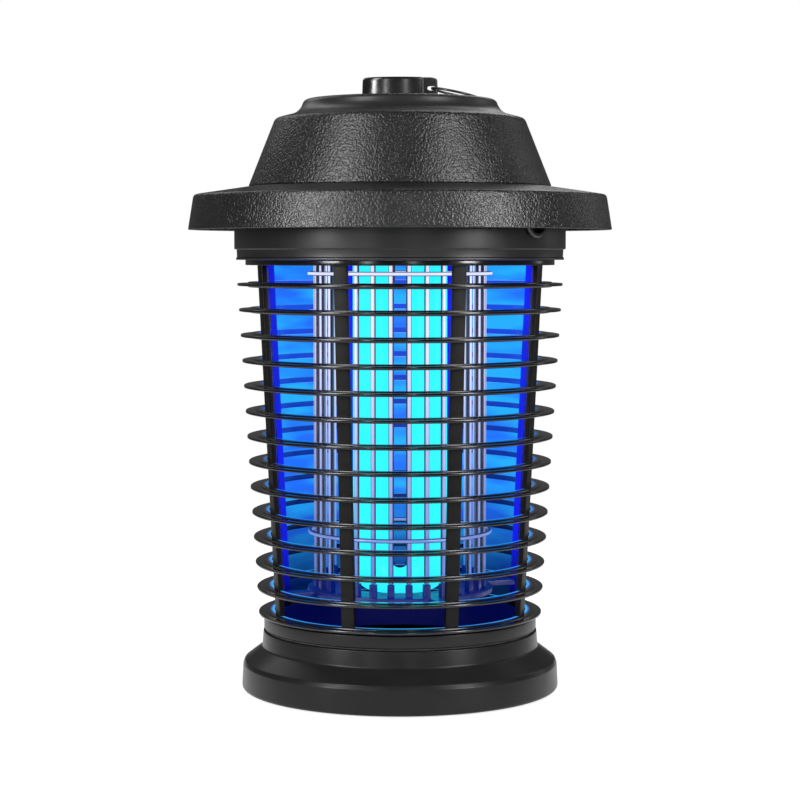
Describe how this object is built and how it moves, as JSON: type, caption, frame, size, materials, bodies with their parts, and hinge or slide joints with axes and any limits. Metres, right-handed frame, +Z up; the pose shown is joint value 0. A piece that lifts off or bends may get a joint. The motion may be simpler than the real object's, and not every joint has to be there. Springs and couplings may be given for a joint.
{
  "type": "electric bug zapper",
  "caption": "Lantern-shaped electric insect killer: domed brimmed roof with hanging ring, louvred guard cage round a wire grid and glowing blue lamp, twist-off collection tray.",
  "frame": {"origin": "centre of the footprint on the surface it stands on, under the rubber feet", "axes": "+Z up along the lantern's axis, -Y to the front, +X to the right, where the hanging ring lies"},
  "size_m": [0.2196, 0.2196, 0.318],
  "materials": {
    "grained_black": "pebbled grain, semi-gloss",
    "satin_black": "smooth satin",
    "guard_black": "smooth semi-gloss",
    "black_rubber": "matte",
    "black_wire": "black coated wire",
    "zinc_steel": "zinc plated",
    "grid_steel": "bright drawn wire",
    "lamp_glow": "coated glowing tube",
    "blue_pane": "translucent, lit from inside",
    "white_plastic": "satin",
    "insulator": "satin",
    "circuit_green": "solder mask",
    "component_dark": "moulded",
    "lead_red": "lead insulation"
  },
  "bodies": {
    "housing": {"roof_cap": "grained_black", "hanger_lug": "satin_black", "upper_housing": "satin_black", "cage_bottom_band": "satin_black", "switch_frame": "guard_black", "cage_top_ring": "guard_black", "guard_ring_01": "guard_black", "guard_ring_02": "guard_black", "guard_ring_03": "guard_black", "guard_ring_04": "guard_black", "guard_ring_05": "guard_black", "guard_ring_06": "guard_black", "guard_ring_07": "guard_black", "guard_ring_08": "guard_black", "guard_ring_09": "guard_black", "guard_ring_10": "guard_black", "guard_ring_11": "guard_black", "guard_ring_12": "guard_black", "guard_ring_13": "guard_black", "guard_ring_14": "guard_black", "guard_bar_1": "guard_black", "guard_bar_2": "guard_black", "guard_bar_3": "guard_black", "guard_bar_4": "guard_black", "guard_bar_5": "guard_black", "guard_bar_6": "guard_black", "guard_bar_7": "guard_black", "guard_bar_8": "guard_black", "cap_seal": "black_rubber", "cable_gland": "black_rubber", "mains_lead": "black_rubber", "hanger_nut": "zinc_steel", "cap_screw_1": "zinc_steel", "cap_screw_2": "zinc_steel", "cap_screw_3": "zinc_steel", "grid_electrode_a": "grid_steel", "grid_electrode_b": "grid_steel", "uv_lamp": "lamp_glow", "rear_pane_1": "blue_pane", "rear_pane_2": "blue_pane", "rear_pane_3": "blue_pane", "lamp_holder": "white_plastic", "lamp_base": "white_plastic", "upper_insulator": "insulator", "lower_insulator": "insulator", "circuit_board": "circuit_green", "hv_transformer": "component_dark", "reservoir_capacitor": "component_dark", "hv_capacitor": "component_dark", "hv_lead_a": "lead_red", "hv_lead_b": "lead_red", "switch_lead": "lead_red"},
    "ring": {"hanging_ring": "black_wire"},
    "rocker": {"power_rocker": "satin_black"},
    "tray_lift": {"tray_seal": "black_rubber"},
    "tray": {"collection_tray": "satin_black", "rubber_foot_1": "black_rubber", "rubber_foot_2": "black_rubber", "rubber_foot_3": "black_rubber", "rubber_foot_4": "black_rubber"}
  },
  "joints": [
    {"name": "ring_swing", "type": "hinge", "parent": "housing", "child": "ring", "pos_m": [0.0166, 0, 0.3126], "axis": [0, -1, 0], "range_deg": [0, 165]},
    {"name": "power_switch", "type": "hinge", "parent": "housing", "child": "rocker", "pos_m": [0.06469, -0.05295, 0.2439], "axis": [0.6334, 0.7738, 0], "range_deg": [-20, 0]},
    {"name": "tray_lower", "type": "slide", "parent": "housing", "child": "tray_lift", "axis": [0, 0, 1], "range_m": [-0.012, 0]},
    {"name": "tray_turn", "type": "hinge", "parent": "tray_lift", "child": "tray", "pos_m": [0, 0, 0.02], "axis": [0, 0, 1], "range_deg": [-90, 0]}
  ],
  "couplings": [
    {"joint": "tray_lower", "follows": "tray_turn", "m_per_rad": 0.0076394}
  ]
}
